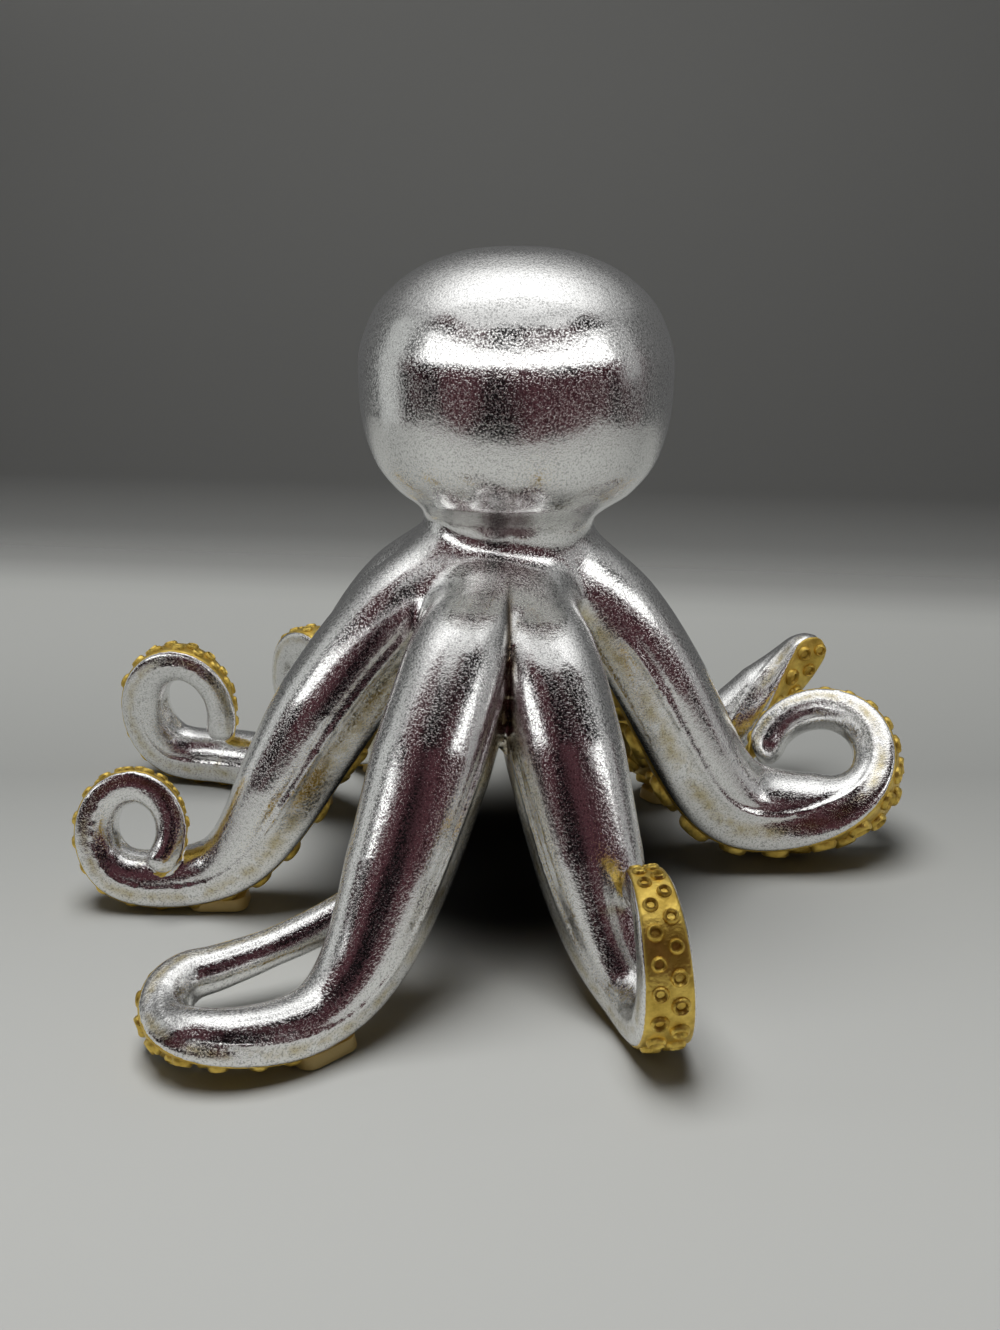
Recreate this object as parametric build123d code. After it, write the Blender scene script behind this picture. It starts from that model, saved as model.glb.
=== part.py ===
from build123d import *
import os
from dataclasses import dataclass
from math import atan2, cos, degrees, pi, radians, sin

# An octopus ornament of cast resin, in millimetres. The animal stands on eight arms, its front
# looks along -Y, +Z is up and the origin is on the table under the middle of the whole piece.
# The parts are first placed about the neck's axis and are moved together at the end.

# Mantle, the smooth rounded head
MANTLE_RADIUS = 46.5
MANTLE_HEIGHT = 76.5
MANTLE_SHIFT = 2.2
SOCKET_CLEARANCE = 0.1
SOCKET_SPARE_DEPTH = 0.5

# Half outline of the mantle between its crown and its foot: share of the radius, of the height
MANTLE_OUTLINE_SHARES = ((0.42, 0.97), (0.78, 0.85), (0.96, 0.68), (1.0, 0.50), (0.95, 0.27), (0.80, 0.11))
MANTLE_FOOT_SHARE = 0.56
MANTLE_FOOT_SLOPE_SHARE = 0.6

# Crown core: the neck, a post that carries the arms and a spigot that carries the mantle
NECK_TOP = 120.0
NECK_RADIUS = 25.0
NECK_HEIGHT = 14.0
NECK_WAIST_SHARE = 0.96
POST_RADIUS = 15.0
POST_LENGTH = 22.0
POST_EDGE = 1.5
SPIGOT_RADIUS = 12.0
SPIGOT_LENGTH = 10.0
SEAT_CLEARANCE = 0.1

# Root keys, square rods that lock each arm to the post
KEY_SIDE = 3.5
KEY_LENGTH = 14.0
KEY_CLEARANCE = 0.1
KEY_DROP_SHARE = 0.35

# Arms: a rounded back on a flat sole, falling from the neck to the table and ending in a curl
ARM_WIDTH = 31.0
ARM_DEPTH_SHARE = 0.86
FLANK_HEIGHT_SHARE = 0.36
SOLE_WIDTH_SHARE = 0.95
SOLE_CREST = 118.0
LANDING_RADIUS = 100.0
FLOOR_RUN = 30.0
CURL_RADIUS = 25.0
CURL_LIFT = 28.0
TAIL_LENGTH = 46.0
TAIL_RISE = 9.0
TRIM_RADIUS = 60.0
RUN_STEP = 8.0
CURL_STEP_DEGREES = 30
ARM_STRIPS = 2
BACK_POINTS = 9

# The sole's fall from the neck to the table: share of the landing radius, share of the crest
FALL_SHARES = ((0.06, 0.80), (0.20, 0.74), (0.37, 0.63), (0.54, 0.46), (0.70, 0.26), (0.85, 0.085), (1.0, 0.008))
KNEE_PLACE_SHARE = 0.55
RING_PLACE_SHARE = 0.5

# Sucker bands, the gilded soles with two staggered rows of ring suckers
BAND_DEPTH_SHARE = 0.10
BAND_WIDTH_SHARE = 0.90
BAND_FACE_SHARE = 0.84
BAND_START = 2
GLUE_LINE = 0.05
SUCKERS_PER_ARM = 12
SUCKER_SIDES = 7
SUCKER_WIDTH_SHARE = 0.28
SUCKER_HEIGHT_SHARE = 0.08
SUCKER_RIM_SHARE = 0.8
SUCKER_ROW_SHARE = 0.22
SUCKER_PITCH_SHARE = 0.25

# Foot pads, flat gilded blocks under the arms that have one
PAD_LENGTH = 20.0
PAD_WIDTH = 14.0
PAD_CORNER = 4.0
PAD_THICKNESS = 2.0
PAD_CLEARANCE = 0.5


@dataclass
class Arm:
    """One arm. Angles are in degrees, azimuths run from the front to the right, seen from there."""

    azimuth: float
    swing: float
    heading: float
    turn: float
    landing_share: float
    run_share: float
    curl_share: float
    tight_share: float
    knee_share: float
    foot_share: float
    ring_share: float
    tip_share: float
    lean: float = 0.0
    roll: float = 0.0
    twist: float = 0.0
    flat_share: float = 1.0
    lift_share: float = 0.0
    tail_share: float = 0.0
    padded: bool = True


# Landing, run, curl, lift and tail are shares of the sizes above, and knee, foot, ring and tip of
# the arm's width. Tight is what a curl keeps of its radius at the tip, flat squeezes it lengthwise
ARM_TABLE_SHARES = {
    "front_left": Arm(
        azimuth=-14, swing=-10, heading=-88, turn=172, lean=76, roll=26,
        landing_share=1.18, run_share=1.07, curl_share=0.76, tight_share=0.95, tail_share=1.0,
        knee_share=0.87, foot_share=0.65, ring_share=0.435, tip_share=0.21),
    "front_right": Arm(
        azimuth=12, swing=8, heading=7, turn=268, lean=3, padded=False,
        landing_share=0.99, run_share=0.3, curl_share=1.06, tight_share=0.50,
        knee_share=0.84, foot_share=0.58, ring_share=0.50, tip_share=0.26),
    "right_front": Arm(
        azimuth=90, swing=4, heading=62, turn=262, lean=-44, roll=-14, padded=False,
        landing_share=0.76, run_share=0.67, curl_share=1.16, tight_share=0.82, flat_share=0.98,
        knee_share=1.03, foot_share=0.90, ring_share=0.58, tip_share=0.29),
    "right_rear": Arm(
        azimuth=137, swing=2, heading=86, turn=64, lean=-20, twist=-45,
        landing_share=0.84, run_share=0.55, curl_share=1.84, tight_share=1.0, lift_share=1.0,
        knee_share=0.90, foot_share=0.77, ring_share=0.65, tip_share=0.32),
    "rear_right": Arm(
        azimuth=168, swing=4, heading=172, turn=285,
        landing_share=0.90, run_share=0.73, curl_share=0.88, tight_share=0.58,
        knee_share=0.95, foot_share=0.58, ring_share=0.42, tip_share=0.26),
    "rear_left": Arm(
        azimuth=-153, swing=4, heading=-136, turn=285,
        landing_share=0.90, run_share=1.5, curl_share=0.96, tight_share=0.68,
        knee_share=0.95, foot_share=0.61, ring_share=0.45, tip_share=0.26),
    "left_rear": Arm(
        azimuth=-117, swing=-8, heading=-98, turn=284, lean=-6, twist=-30,
        landing_share=0.87, run_share=1.8, curl_share=1.10, tight_share=0.78, flat_share=0.88,
        knee_share=0.94, foot_share=0.61, ring_share=0.52, tip_share=0.26),
    "left_front": Arm(
        azimuth=-61, swing=-12, heading=-87, turn=288, lean=12, twist=-30,
        landing_share=0.93, run_share=0.83, curl_share=0.88, tight_share=0.57, flat_share=0.92,
        knee_share=0.94, foot_share=0.58, ring_share=0.42, tip_share=0.23),
}

# The two azimuths between which each arm keeps near the neck, where it meets its neighbours
SECTORS = {
    "front_right": (0, 50),
    "right_front": (50, 114),
    "right_rear": (114, 154),
    "rear_right": (154, 187),
    "rear_left": (187, 225),
    "left_rear": (225, 269),
    "left_front": (269, 322),
    "front_left": (322, 360),
}

UP = Vector(0, 0, 1)
ON_FLOOR = (Align.CENTER, Align.CENTER, Align.MIN)


@dataclass
class Station:
    """A place along an arm's sole, with the direction of the arm, of its back, and its width."""

    point: Vector
    up: Vector
    twist: float = 0.0
    way: Vector = None
    width: float = 0.0


def planar(azimuth):
    """The level direction of an azimuth."""
    return Vector(sin(radians(azimuth)), -cos(radians(azimuth)), 0)


def leaning(heading, angle):
    """The upward direction, leaned sideways about a level heading."""
    side = Vector(heading.Y, -heading.X, 0)
    return UP * cos(radians(angle)) + side * sin(radians(angle))


def between(place, knots):
    """Straight-line reading of a list of place and value pairs."""
    for (start, low), (end, high) in zip(knots, knots[1:]):
        if place <= end:
            return low + (high - low) * (place - start) / (end - start)
    return knots[-1][1]


def sole_height(arm):
    """How far the lowest part of the sole stays above the table."""
    if arm.padded:
        return PAD_THICKNESS + PAD_CLEARANCE
    return ARM_WIDTH * arm.foot_share * SUCKER_HEIGHT_SHARE


def fall(arm):
    """From the neck down to the table."""
    radius = LANDING_RADIUS * arm.landing_share
    places = []
    for out_share, height_share in FALL_SHARES:
        way = planar(arm.azimuth + arm.swing * out_share**2)
        height = sole_height(arm) + SOLE_CREST * height_share
        places.append(Station(way * (radius * out_share) + UP * height, UP))
    return places


def run_steps(arm):
    """The number of stretches of an arm's run along the table."""
    return max(1, round(FLOOR_RUN * arm.run_share / RUN_STEP))


def run_out(arm, start, arrival):
    """Along the table, while the arm veers to its curl's heading and rolls over."""
    length = FLOOR_RUN * arm.run_share
    steps = run_steps(arm)
    veer = (arm.heading - arrival + 180) % 360 - 180
    half_sole = ARM_WIDTH * arm.foot_share * BAND_WIDTH_SHARE / 2
    places = []
    point = start
    for step in range(1, steps + 1):
        done = step / steps
        point = point + planar(arrival + veer * (step - 0.5) / steps) * (length / steps)
        sinking = SOLE_CREST * FALL_SHARES[-1][1] * (1 - done)
        edge_room = half_sole * abs(sin(radians(arm.roll * done)))
        height = sole_height(arm) + sinking + edge_room
        up = leaning(planar(arm.heading), arm.roll * done)
        places.append(Station(Vector(point.X, point.Y, height), up))
    return places


def curl(arm, start):
    """A spiral in a leaning plane, with the sole on its outside."""
    ahead = planar(arm.heading)
    inward = leaning(ahead, arm.lean)
    radius = CURL_RADIUS * arm.curl_share
    steps = max(3, round(arm.turn / CURL_STEP_DEGREES))
    places = []
    for step in range(1, steps + 1):
        done = step / steps
        angle = radians(arm.turn * done)
        keep = 1 - (1 - arm.tight_share) * done**1.5
        point = start + ahead * (arm.flat_share * radius * keep * sin(angle))
        point = point + inward * (radius * (1 - keep * cos(angle)))
        point = point + UP * (CURL_LIFT * arm.lift_share * done)
        settled = min(1, angle / radians(90))
        facing = leaning(ahead, arm.roll + (arm.lean - arm.roll) * settled)
        places.append(Station(point, facing * cos(angle) - ahead * sin(angle), arm.twist * done**2))
    return places


def tail(arm, before, last):
    """A straight end after a hairpin curl, rising towards its tip."""
    way = (last.point - before.point).normalized()
    places = []
    for done in (1 / 3, 2 / 3, 1):
        point = last.point + way * (TAIL_LENGTH * arm.tail_share * done) + UP * (TAIL_RISE * done**2)
        places.append(Station(point, last.up, last.twist))
    return places


def make_route(arm):
    """All stations of an arm from the neck to the tip."""
    places = fall(arm)
    last_step = places[-1].point - places[-2].point
    arrival = degrees(atan2(last_step.X, -last_step.Y))
    places += run_out(arm, places[-1].point, arrival)
    places += curl(arm, places[-1].point)
    if arm.tail_share:
        places += tail(arm, places[-2], places[-1])
    return framed(arm, places)


def travelled_lengths(places):
    """The distance along the stations up to each of them."""
    lengths = [0.0]
    for here, there in zip(places, places[1:]):
        lengths.append(lengths[-1] + (there.point - here.point).length)
    return lengths


def framed(arm, places):
    """Gives each station its direction and width and turns its back square to the direction."""
    lengths = travelled_lengths(places)
    fallen = lengths[len(FALL_SHARES) - 1]
    fall_widths = ((0, 1), (KNEE_PLACE_SHARE, arm.knee_share), (1, arm.foot_share))
    end_widths = ((0, arm.foot_share), (RING_PLACE_SHARE, arm.ring_share), (1, arm.tip_share))
    for index, place in enumerate(places):
        before = places[max(0, index - 1)].point
        after = places[min(len(places) - 1, index + 1)].point
        place.way = (after - before).normalized()
        up = (place.up - place.way * place.up.dot(place.way)).normalized()
        twist = radians(place.twist)
        place.up = up * cos(twist) + place.way.cross(up) * sin(twist)
        if lengths[index] <= fallen:
            share = between(lengths[index] / fallen, fall_widths)
        else:
            share = between((lengths[index] - fallen) / (lengths[-1] - fallen), end_widths)
        place.width = ARM_WIDTH * share
    return places


def station_at(route, length):
    """The station at a distance along the route, on a smooth curve through its neighbours."""
    lengths = travelled_lengths(route)
    index = sum(1 for reached in lengths[1:-1] if reached <= length)
    here, there = route[index], route[index + 1]
    step = lengths[index + 1] - lengths[index]
    done = (length - lengths[index]) / step
    rise = done * done * (3 - 2 * done)
    leaving = here.way * (step * done * (1 - done) ** 2)
    arriving = there.way * (step * done**2 * (done - 1))
    point = here.point * (1 - rise) + there.point * rise + leaving + arriving
    way = (here.way * (1 - done) + there.way * done).normalized()
    up = here.up * (1 - done) + there.up * done
    up = (up - way * up.dot(way)).normalized()
    return Station(point, up, way=way, width=here.width * (1 - done) + there.width * done)


def finer(route, first):
    """The stations from the first one on, with each stretch between two of them divided."""
    lengths = travelled_lengths(route)
    places = []
    for start, end in zip(lengths[first:], lengths[first + 1:]):
        steps = [start + (end - start) * strip / ARM_STRIPS for strip in range(ARM_STRIPS)]
        places += [station_at(route, length) for length in steps]
    return places + [route[-1]]


def across(place):
    """The plane square to the arm, with its Y towards the arm's back."""
    return Plane(origin=place.point, x_dir=place.up.cross(place.way), z_dir=place.way)


def arm_section(place):
    """A rounded back over a flat seat for the sucker band."""
    seat = BAND_DEPTH_SHARE * place.width
    half_seat = SOLE_WIDTH_SHARE * place.width / 2
    flank = FLANK_HEIGHT_SHARE * place.width
    crown = ARM_DEPTH_SHARE * place.width - flank
    corners = [(half_seat, seat)]
    for point in range(BACK_POINTS):
        angle = pi * point / (BACK_POINTS - 1)
        corners.append((place.width / 2 * cos(angle), flank + crown * sin(angle)))
    corners.append((-half_seat, seat))
    return across(place) * make_face(Polyline(*corners, close=True))


def band_section(place):
    """A flat strip with slanted edges under the seat."""
    top = BAND_DEPTH_SHARE * place.width - GLUE_LINE
    half_top = BAND_WIDTH_SHARE * place.width / 2
    half_face = BAND_FACE_SHARE * place.width / 2
    corners = ((-half_face, 0), (half_face, 0), (half_top, top), (-half_top, top))
    return across(place) * make_face(Polyline(*corners, close=True))


def core_body(clearance):
    """The neck over its post, grown by a clearance."""
    neck_foot = NECK_TOP - NECK_HEIGHT - clearance
    post_foot = NECK_TOP - NECK_HEIGHT - POST_LENGTH - clearance
    neck = NECK_RADIUS + clearance
    post = POST_RADIUS + clearance
    middle = NECK_TOP - NECK_HEIGHT / 2
    outline = Polyline(
        (neck, NECK_TOP), (0, NECK_TOP), (0, post_foot), (post - POST_EDGE, post_foot),
        (post, post_foot + POST_EDGE), (post, neck_foot), (neck, neck_foot))
    side = ThreePointArc((neck, neck_foot), (neck * NECK_WAIST_SHARE, middle), (neck, NECK_TOP))
    return revolve(Plane.XZ * make_face([*outline.edges(), side]), Axis.Z)


def key(name, clearance):
    """A root key, or the square hole that it fits."""
    first, second = SECTORS[name]
    way = planar((first + second) / 2)
    height = NECK_TOP - NECK_HEIGHT - POST_LENGTH * KEY_DROP_SHARE
    side = KEY_SIDE + 2 * clearance
    rod = Box(side, side, KEY_LENGTH + 2 * clearance)
    return Plane(origin=way * POST_RADIUS + UP * height, x_dir=UP, z_dir=way) * rod


def outside_sector(name):
    """What an arm has to leave to its neighbours near the neck."""
    first, second = SECTORS[name]
    half = radians(second - first) / 2
    reach = TRIM_RADIUS * 2
    height = NECK_TOP * 2
    corners = ((0, 0), (reach * cos(half), -reach * sin(half)), (reach * cos(half), reach * sin(half)))
    floor = Plane(origin=(0, 0, 0), x_dir=planar((first + second) / 2), z_dir=UP)
    sector = extrude(floor * make_face(Polyline(*corners, close=True)), height)
    return Cylinder(TRIM_RADIUS, height, align=ON_FLOOR) - sector


def largest(shape):
    """The main solid of what a cut leaves."""
    return max(shape.solids(), key=lambda solid: solid.volume)


def make_mantle():
    outline = [(MANTLE_RADIUS * r, NECK_TOP + MANTLE_HEIGHT * h) for r, h in MANTLE_OUTLINE_SHARES]
    crown = (0, NECK_TOP + MANTLE_HEIGHT)
    foot = (MANTLE_RADIUS * MANTLE_FOOT_SHARE, NECK_TOP)
    side = Spline(crown, *outline, foot, tangents=((1, 0), (-1, -MANTLE_FOOT_SLOPE_SHARE)))
    closing = Polyline(foot, (0, NECK_TOP), crown)
    body = revolve(Plane.XZ * make_face([side, *closing.edges()]), Axis.Z)
    socket = Cylinder(SPIGOT_RADIUS + SOCKET_CLEARANCE, SPIGOT_LENGTH + SOCKET_SPARE_DEPTH, align=ON_FLOOR)
    return Pos(MANTLE_SHIFT, 0, 0) * body - Pos(0, 0, NECK_TOP) * socket


def make_crown_core():
    spigot = Cylinder(SPIGOT_RADIUS, SPIGOT_LENGTH, align=ON_FLOOR)
    core = core_body(0) + Pos(0, 0, NECK_TOP) * spigot
    return core - [key(name, KEY_CLEARANCE) for name in SECTORS]


def make_arm(name, route):
    body = loft([arm_section(place) for place in finer(route, 0)], ruled=True)
    body = largest(body - outside_sector(name) - core_body(SEAT_CLEARANCE))
    return body - key(name, KEY_CLEARANCE)


def make_sucker(place, row):
    """A raised ring with a sunken middle, rooted in the band beside its centre line."""
    radius = SUCKER_WIDTH_SHARE * place.width / 2
    height = SUCKER_HEIGHT_SHARE * place.width
    root = BAND_DEPTH_SHARE * place.width / 2
    rim = RegularPolygon(radius * SUCKER_RIM_SHARE, SUCKER_SIDES)
    stud = loft([Pos(0, 0, -root) * RegularPolygon(radius, SUCKER_SIDES), Pos(0, 0, height) * rim])
    hollow = loft([Pos(0, 0, height) * rim, Vertex(0, 0, 0)])
    foot = place.point + place.up.cross(place.way) * (row * SUCKER_ROW_SHARE * place.width)
    return Plane(origin=foot, x_dir=place.way, z_dir=place.up * -1) * (stud - hollow)


def make_band(name, route):
    strip = loft([band_section(place) for place in finer(route, BAND_START)], ruled=True)
    strip = largest(strip - outside_sector(name))
    length = travelled_lengths(route)[-1] - SUCKER_WIDTH_SHARE * route[-1].width
    suckers = []
    for index in range(SUCKERS_PER_ARM):
        place = station_at(route, length)
        suckers.append(make_sucker(place, 1 if index % 2 else -1))
        length -= SUCKER_PITCH_SHARE * place.width
    return strip + suckers


def make_pad(arm, route):
    """A flat block with cut corners under the stretch of sole that lies level."""
    landing = route[len(FALL_SHARES) - 1].point
    run_end = route[len(FALL_SHARES) - 1 + run_steps(arm)].point
    middle = (landing + run_end) * 0.5
    way = Vector(run_end.X - landing.X, run_end.Y - landing.Y, 0)
    outline = chamfer(Rectangle(PAD_LENGTH, PAD_WIDTH).vertices(), PAD_CORNER)
    return Plane(origin=(middle.X, middle.Y, 0), x_dir=way, z_dir=UP) * extrude(outline, PAD_THICKNESS)


def make_all():
    pieces = {
        "mantle": make_mantle(),
        "crown_core": make_crown_core(),
        "root_keys": Compound([key(name, 0) for name in SECTORS]),
    }
    for name, arm in ARM_TABLE_SHARES.items():
        route = make_route(arm)
        pieces[f"arm_{name}"] = make_arm(name, route)
        pieces[f"band_{name}"] = make_band(name, route)
        if arm.padded:
            pieces[f"pad_{name}"] = make_pad(arm, route)
    return pieces


os.makedirs("parts", exist_ok=True)
pieces = make_all()
box = Compound(list(pieces.values())).bounding_box()
to_origin = Pos(-(box.min.X + box.max.X) / 2, -(box.min.Y + box.max.Y) / 2, -box.min.Z)
for node, shape in pieces.items():
    export_step(to_origin * shape, f"parts/{node}.step")
    print(node, "solids", len(shape.solids()), "volume", round(shape.volume), "valid", shape.is_valid)
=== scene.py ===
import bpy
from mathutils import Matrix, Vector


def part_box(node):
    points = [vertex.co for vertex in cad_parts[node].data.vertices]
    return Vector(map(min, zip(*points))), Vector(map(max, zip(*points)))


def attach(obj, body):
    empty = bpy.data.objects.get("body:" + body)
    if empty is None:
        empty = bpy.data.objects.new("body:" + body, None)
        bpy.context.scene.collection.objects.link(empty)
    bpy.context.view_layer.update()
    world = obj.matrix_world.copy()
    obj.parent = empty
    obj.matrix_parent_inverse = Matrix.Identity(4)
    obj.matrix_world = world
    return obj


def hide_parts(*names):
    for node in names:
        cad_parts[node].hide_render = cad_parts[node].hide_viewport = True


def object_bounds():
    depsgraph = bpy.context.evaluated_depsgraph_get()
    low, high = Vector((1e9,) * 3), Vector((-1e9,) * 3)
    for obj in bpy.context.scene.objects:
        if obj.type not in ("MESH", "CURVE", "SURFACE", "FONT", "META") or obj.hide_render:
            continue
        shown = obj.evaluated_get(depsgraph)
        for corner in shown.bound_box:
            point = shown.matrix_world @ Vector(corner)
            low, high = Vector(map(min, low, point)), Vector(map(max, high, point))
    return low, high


bl_info = {
    "name": "Octopus figurine",
    "version": (1, 0, 0),
    "blender": (4, 5, 0),
    "location": "3D View > Sidebar > Octopus",
    "description": "Dresses a cast octopus ornament in silver leaf with gilded soles",
    "category": "Object",
}

from math import atan2, cos, degrees, pi, radians, sin, sqrt

import bmesh
import bpy
import numpy as np
from bpy.props import FloatProperty, FloatVectorProperty, IntProperty, PointerProperty
from mathutils import Matrix, Vector
from mathutils.kdtree import KDTree

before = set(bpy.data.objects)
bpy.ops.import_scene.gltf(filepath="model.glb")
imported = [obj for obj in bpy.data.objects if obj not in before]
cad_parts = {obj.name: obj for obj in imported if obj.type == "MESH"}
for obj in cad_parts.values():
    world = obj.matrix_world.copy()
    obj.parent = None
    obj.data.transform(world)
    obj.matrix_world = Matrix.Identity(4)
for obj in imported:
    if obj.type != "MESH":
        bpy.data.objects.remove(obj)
CAD_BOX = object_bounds()

MM = 0.001
UP = Vector((0, 0, 1))

# Sizes of the casting, in millimetres about the neck's axis, as the solids have them
MANTLE_RADIUS = 46.5
MANTLE_HEIGHT = 76.5
MANTLE_SHIFT = 2.2
MANTLE_OUTLINE = (
    (0.0, 1.0), (0.42, 0.97), (0.78, 0.85), (0.96, 0.68),
    (1.0, 0.50), (0.95, 0.27), (0.80, 0.11), (0.56, 0.0))
NECK_TOP = 120.0
NECK_RADIUS = 25.0
NECK_FOOT = 110.0
ARM_WIDTH = 31.0
SOLE_CREST = 118.0
LANDING_RADIUS = 100.0
FLOOR_RUN = 30.0
CURL_RADIUS = 25.0
CURL_LIFT = 28.0
TAIL_LENGTH = 46.0
TAIL_RISE = 9.0
TRIM_RADIUS = 60.0
RUN_STEP = 8.0
CURL_STEP = 30
FALL = ((0.06, 0.80), (0.20, 0.74), (0.37, 0.63), (0.54, 0.46), (0.70, 0.26), (0.85, 0.085), (1.0, 0.008))
BAND_START = 2
SUCKER_HEIGHT = 0.08
PAD_THICKNESS = 2.0
PAD_CLEARANCE = 0.5
PAD_CORNER = 4.0
PAD_EDGE = 0.35
PAD_TAPER = 0.06
# Painted shade: how far each pad, standing under its arm, is darkened towards the hollow shade colour
PAD_SHADE = 0.85

# Half of an arm's seat up to its flank, in shares of the arm's width
SEAT = ((0.38, 0.004), (0.42, 0.010), (0.452, 0.035), (0.474, 0.08), (0.49, 0.17))
# The head's fullness between its knots, and how far it sinks in the neck
MANTLE_FULLNESS = 0.6
MANTLE_STEPS = 8
MANTLE_SUNK = 4.0
# The skin's fineness that the neck's rounds of smoothing are counted for, how much of them the
# neck's seam escapes and how far around it, and how near a cut faces are taken
NECK_GRAIN = 0.00075
SEAM_KEPT = 0.45
SEAM_REACH = 2.2
CUT_REACH = 0.0025
# How the finished skin departs from the solids, in millimetres: arms sink onto their suckers and
# soles, ease into their curls over a reach and a number of rounds, and leave the neck low in front
SKIN_DROP = 1.2
DROP_HEIGHT = 40.0
EASE = (34, 230)
LOW_ROOT = 0.30
LOW_ROOT_RUN = (12, 46)
# The groove between the two front arms
GROOVE_DEPTH = 1.3
GROOVE_WIDTH = 1.1
GROOVE_LINE = 0.9
GROOVE_GILT = 2.6
# Noises of the finishes: scale, detail, roughness and distortion
LEAF_GRAIN = (1800.0, 2.5, 0.6, 0.0)
LEAF_CRINKLE = (620.0, 1.5, 0.5, 0.6)
LEAF_PATCHES = (150.0, 5.0, 0.65, 0.0)
GOLD_GRAIN = (900.0, 3.0, 0.55, 0.0)
GOLD_PATCHES = (180.0, 4.0, 0.6, 0.0)
STEEL_GRAIN = (1200.0, 2.0, 0.5, 0.0)
SCREEN_BLOTS = (7.0, 1.0, 0.5, 0.0)
VEIL_CLOUDS = (30.0, 2.0, 0.5, 0.0)
# Depths of the finest relief, in metres
LEAF_PIT = 0.00004
LEAF_FOLD = 0.00006
GOLD_PIT = 0.00022

# Each arm: azimuth, swing, heading, turn, lean, roll and twist in degrees, aside in millimetres,
# the rest as shares. Some lie a little off the solids, to curl as the real casting does
ARMS = {
    "front_left": dict(
        azimuth=-14, swing=-10, heading=-88, turn=172, lean=76, roll=26, landing=1.18, run=1.07,
        curl=0.76, tight=0.95, tail=1.0, foot=0.65),
    "front_right": dict(
        azimuth=12, swing=8, heading=7, turn=250, lean=3, padded=False, landing=0.99, run=0.3,
        curl=1.12, tight=0.50, foot=0.58),
    "right_front": dict(
        azimuth=87, swing=7, heading=62, turn=274, lean=-44, roll=-14, padded=False, landing=0.67,
        run=0.95, curl=1.20, tight=0.80, flat=0.98, foot=0.90, ease=(52, 620)),
    "right_rear": dict(
        azimuth=133, swing=2, heading=88, turn=50, lean=-12, twist=-82, landing=0.80, run=0.55,
        curl=2.20, tight=1.0, lift=1.28, foot=0.77),
    "rear_right": dict(
        azimuth=168, swing=4, heading=172, turn=285, landing=0.90, run=0.73, curl=0.88, tight=0.58,
        foot=0.58),
    "rear_left": dict(
        azimuth=-153, swing=4, heading=-136, turn=285, landing=0.90, run=1.5, curl=0.96, tight=0.68,
        foot=0.61),
    "left_rear": dict(
        azimuth=-117, swing=-8, heading=-98, turn=303, lean=-6, twist=-30, landing=0.87, run=1.8, aside=5,
        curl=1.10, tight=0.74, flat=0.88, foot=0.61),
    "left_front": dict(
        azimuth=-61, swing=-12, heading=-87, turn=335, lean=12, twist=-30, landing=0.93, run=0.83, aside=9,
        curl=0.88, tight=0.60, flat=0.92, foot=0.58),
}
# Widths of the finished skin as shares of the arm's width: at 0.55, 0.8 and the end of the fall,
# then at each quarter of what follows
SKIN_WIDTHS = {
    "front_left": (1.02, 0.76, 0.54, 0.50, 0.46, 0.32, 0.36),
    "front_right": (1.04, 0.82, 0.60, 0.52, 0.45, 0.37, 0.28),
    "right_front": (1.13, 1.10, 1.06, 0.90, 0.56, 0.46, 0.42),
    "right_rear": (0.98, 0.90, 0.86, 0.86, 0.82, 0.68, 0.40),
    "rear_right": (1.00, 0.84, 0.66, 0.57, 0.48, 0.41, 0.34),
    "rear_left": (1.00, 0.84, 0.68, 0.60, 0.52, 0.43, 0.34),
    "left_rear": (1.04, 0.88, 0.71, 0.67, 0.60, 0.46, 0.36),
    "left_front": (1.05, 0.86, 0.64, 0.54, 0.44, 0.37, 0.30),
}
SECTORS = {
    "front_right": (0, 50),
    "right_front": (50, 114),
    "right_rear": (114, 154),
    "rear_right": (154, 187),
    "rear_left": (187, 225),
    "left_rear": (225, 269),
    "left_front": (269, 322),
    "front_left": (322, 360),
}


# The neck's axis in the frame, read from the mantle's place
def neck_axis():
    low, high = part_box("mantle")
    return Vector(((low[0] + high[0]) / 2 / MM - MANTLE_SHIFT, (low[1] + high[1]) / 2 / MM, 0))


AXIS = neck_axis()


# Routes of the arms

class Place:
    """A place along an arm's sole: its point, the arm's direction, its back's direction, its width."""

    def __init__(self, point, up, twist=0.0, way=None, width=0.0):
        self.point, self.up, self.twist, self.way, self.width = point, up, twist, way, width


def planar(azimuth):
    return Vector((sin(radians(azimuth)), -cos(radians(azimuth)), 0))


def leaning(heading, angle):
    side = Vector((heading.y, -heading.x, 0))
    return UP * cos(radians(angle)) + side * sin(radians(angle))


def between(place, knots):
    for (start, low), (end, high) in zip(knots, knots[1:]):
        if place <= end:
            return low + (high - low) * (place - start) / (end - start)
    return knots[-1][1]


def sole_height(arm):
    if arm.get("padded", True):
        return PAD_THICKNESS + PAD_CLEARANCE
    return ARM_WIDTH * arm["foot"] * SUCKER_HEIGHT


def falling(arm):
    places = []
    for out, height in FALL:
        point = planar(arm["azimuth"] + arm["swing"] * out**2) * (LANDING_RADIUS * arm["landing"] * out)
        places.append(Place(point + UP * (sole_height(arm) + SOLE_CREST * height), UP))
    return places


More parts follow.
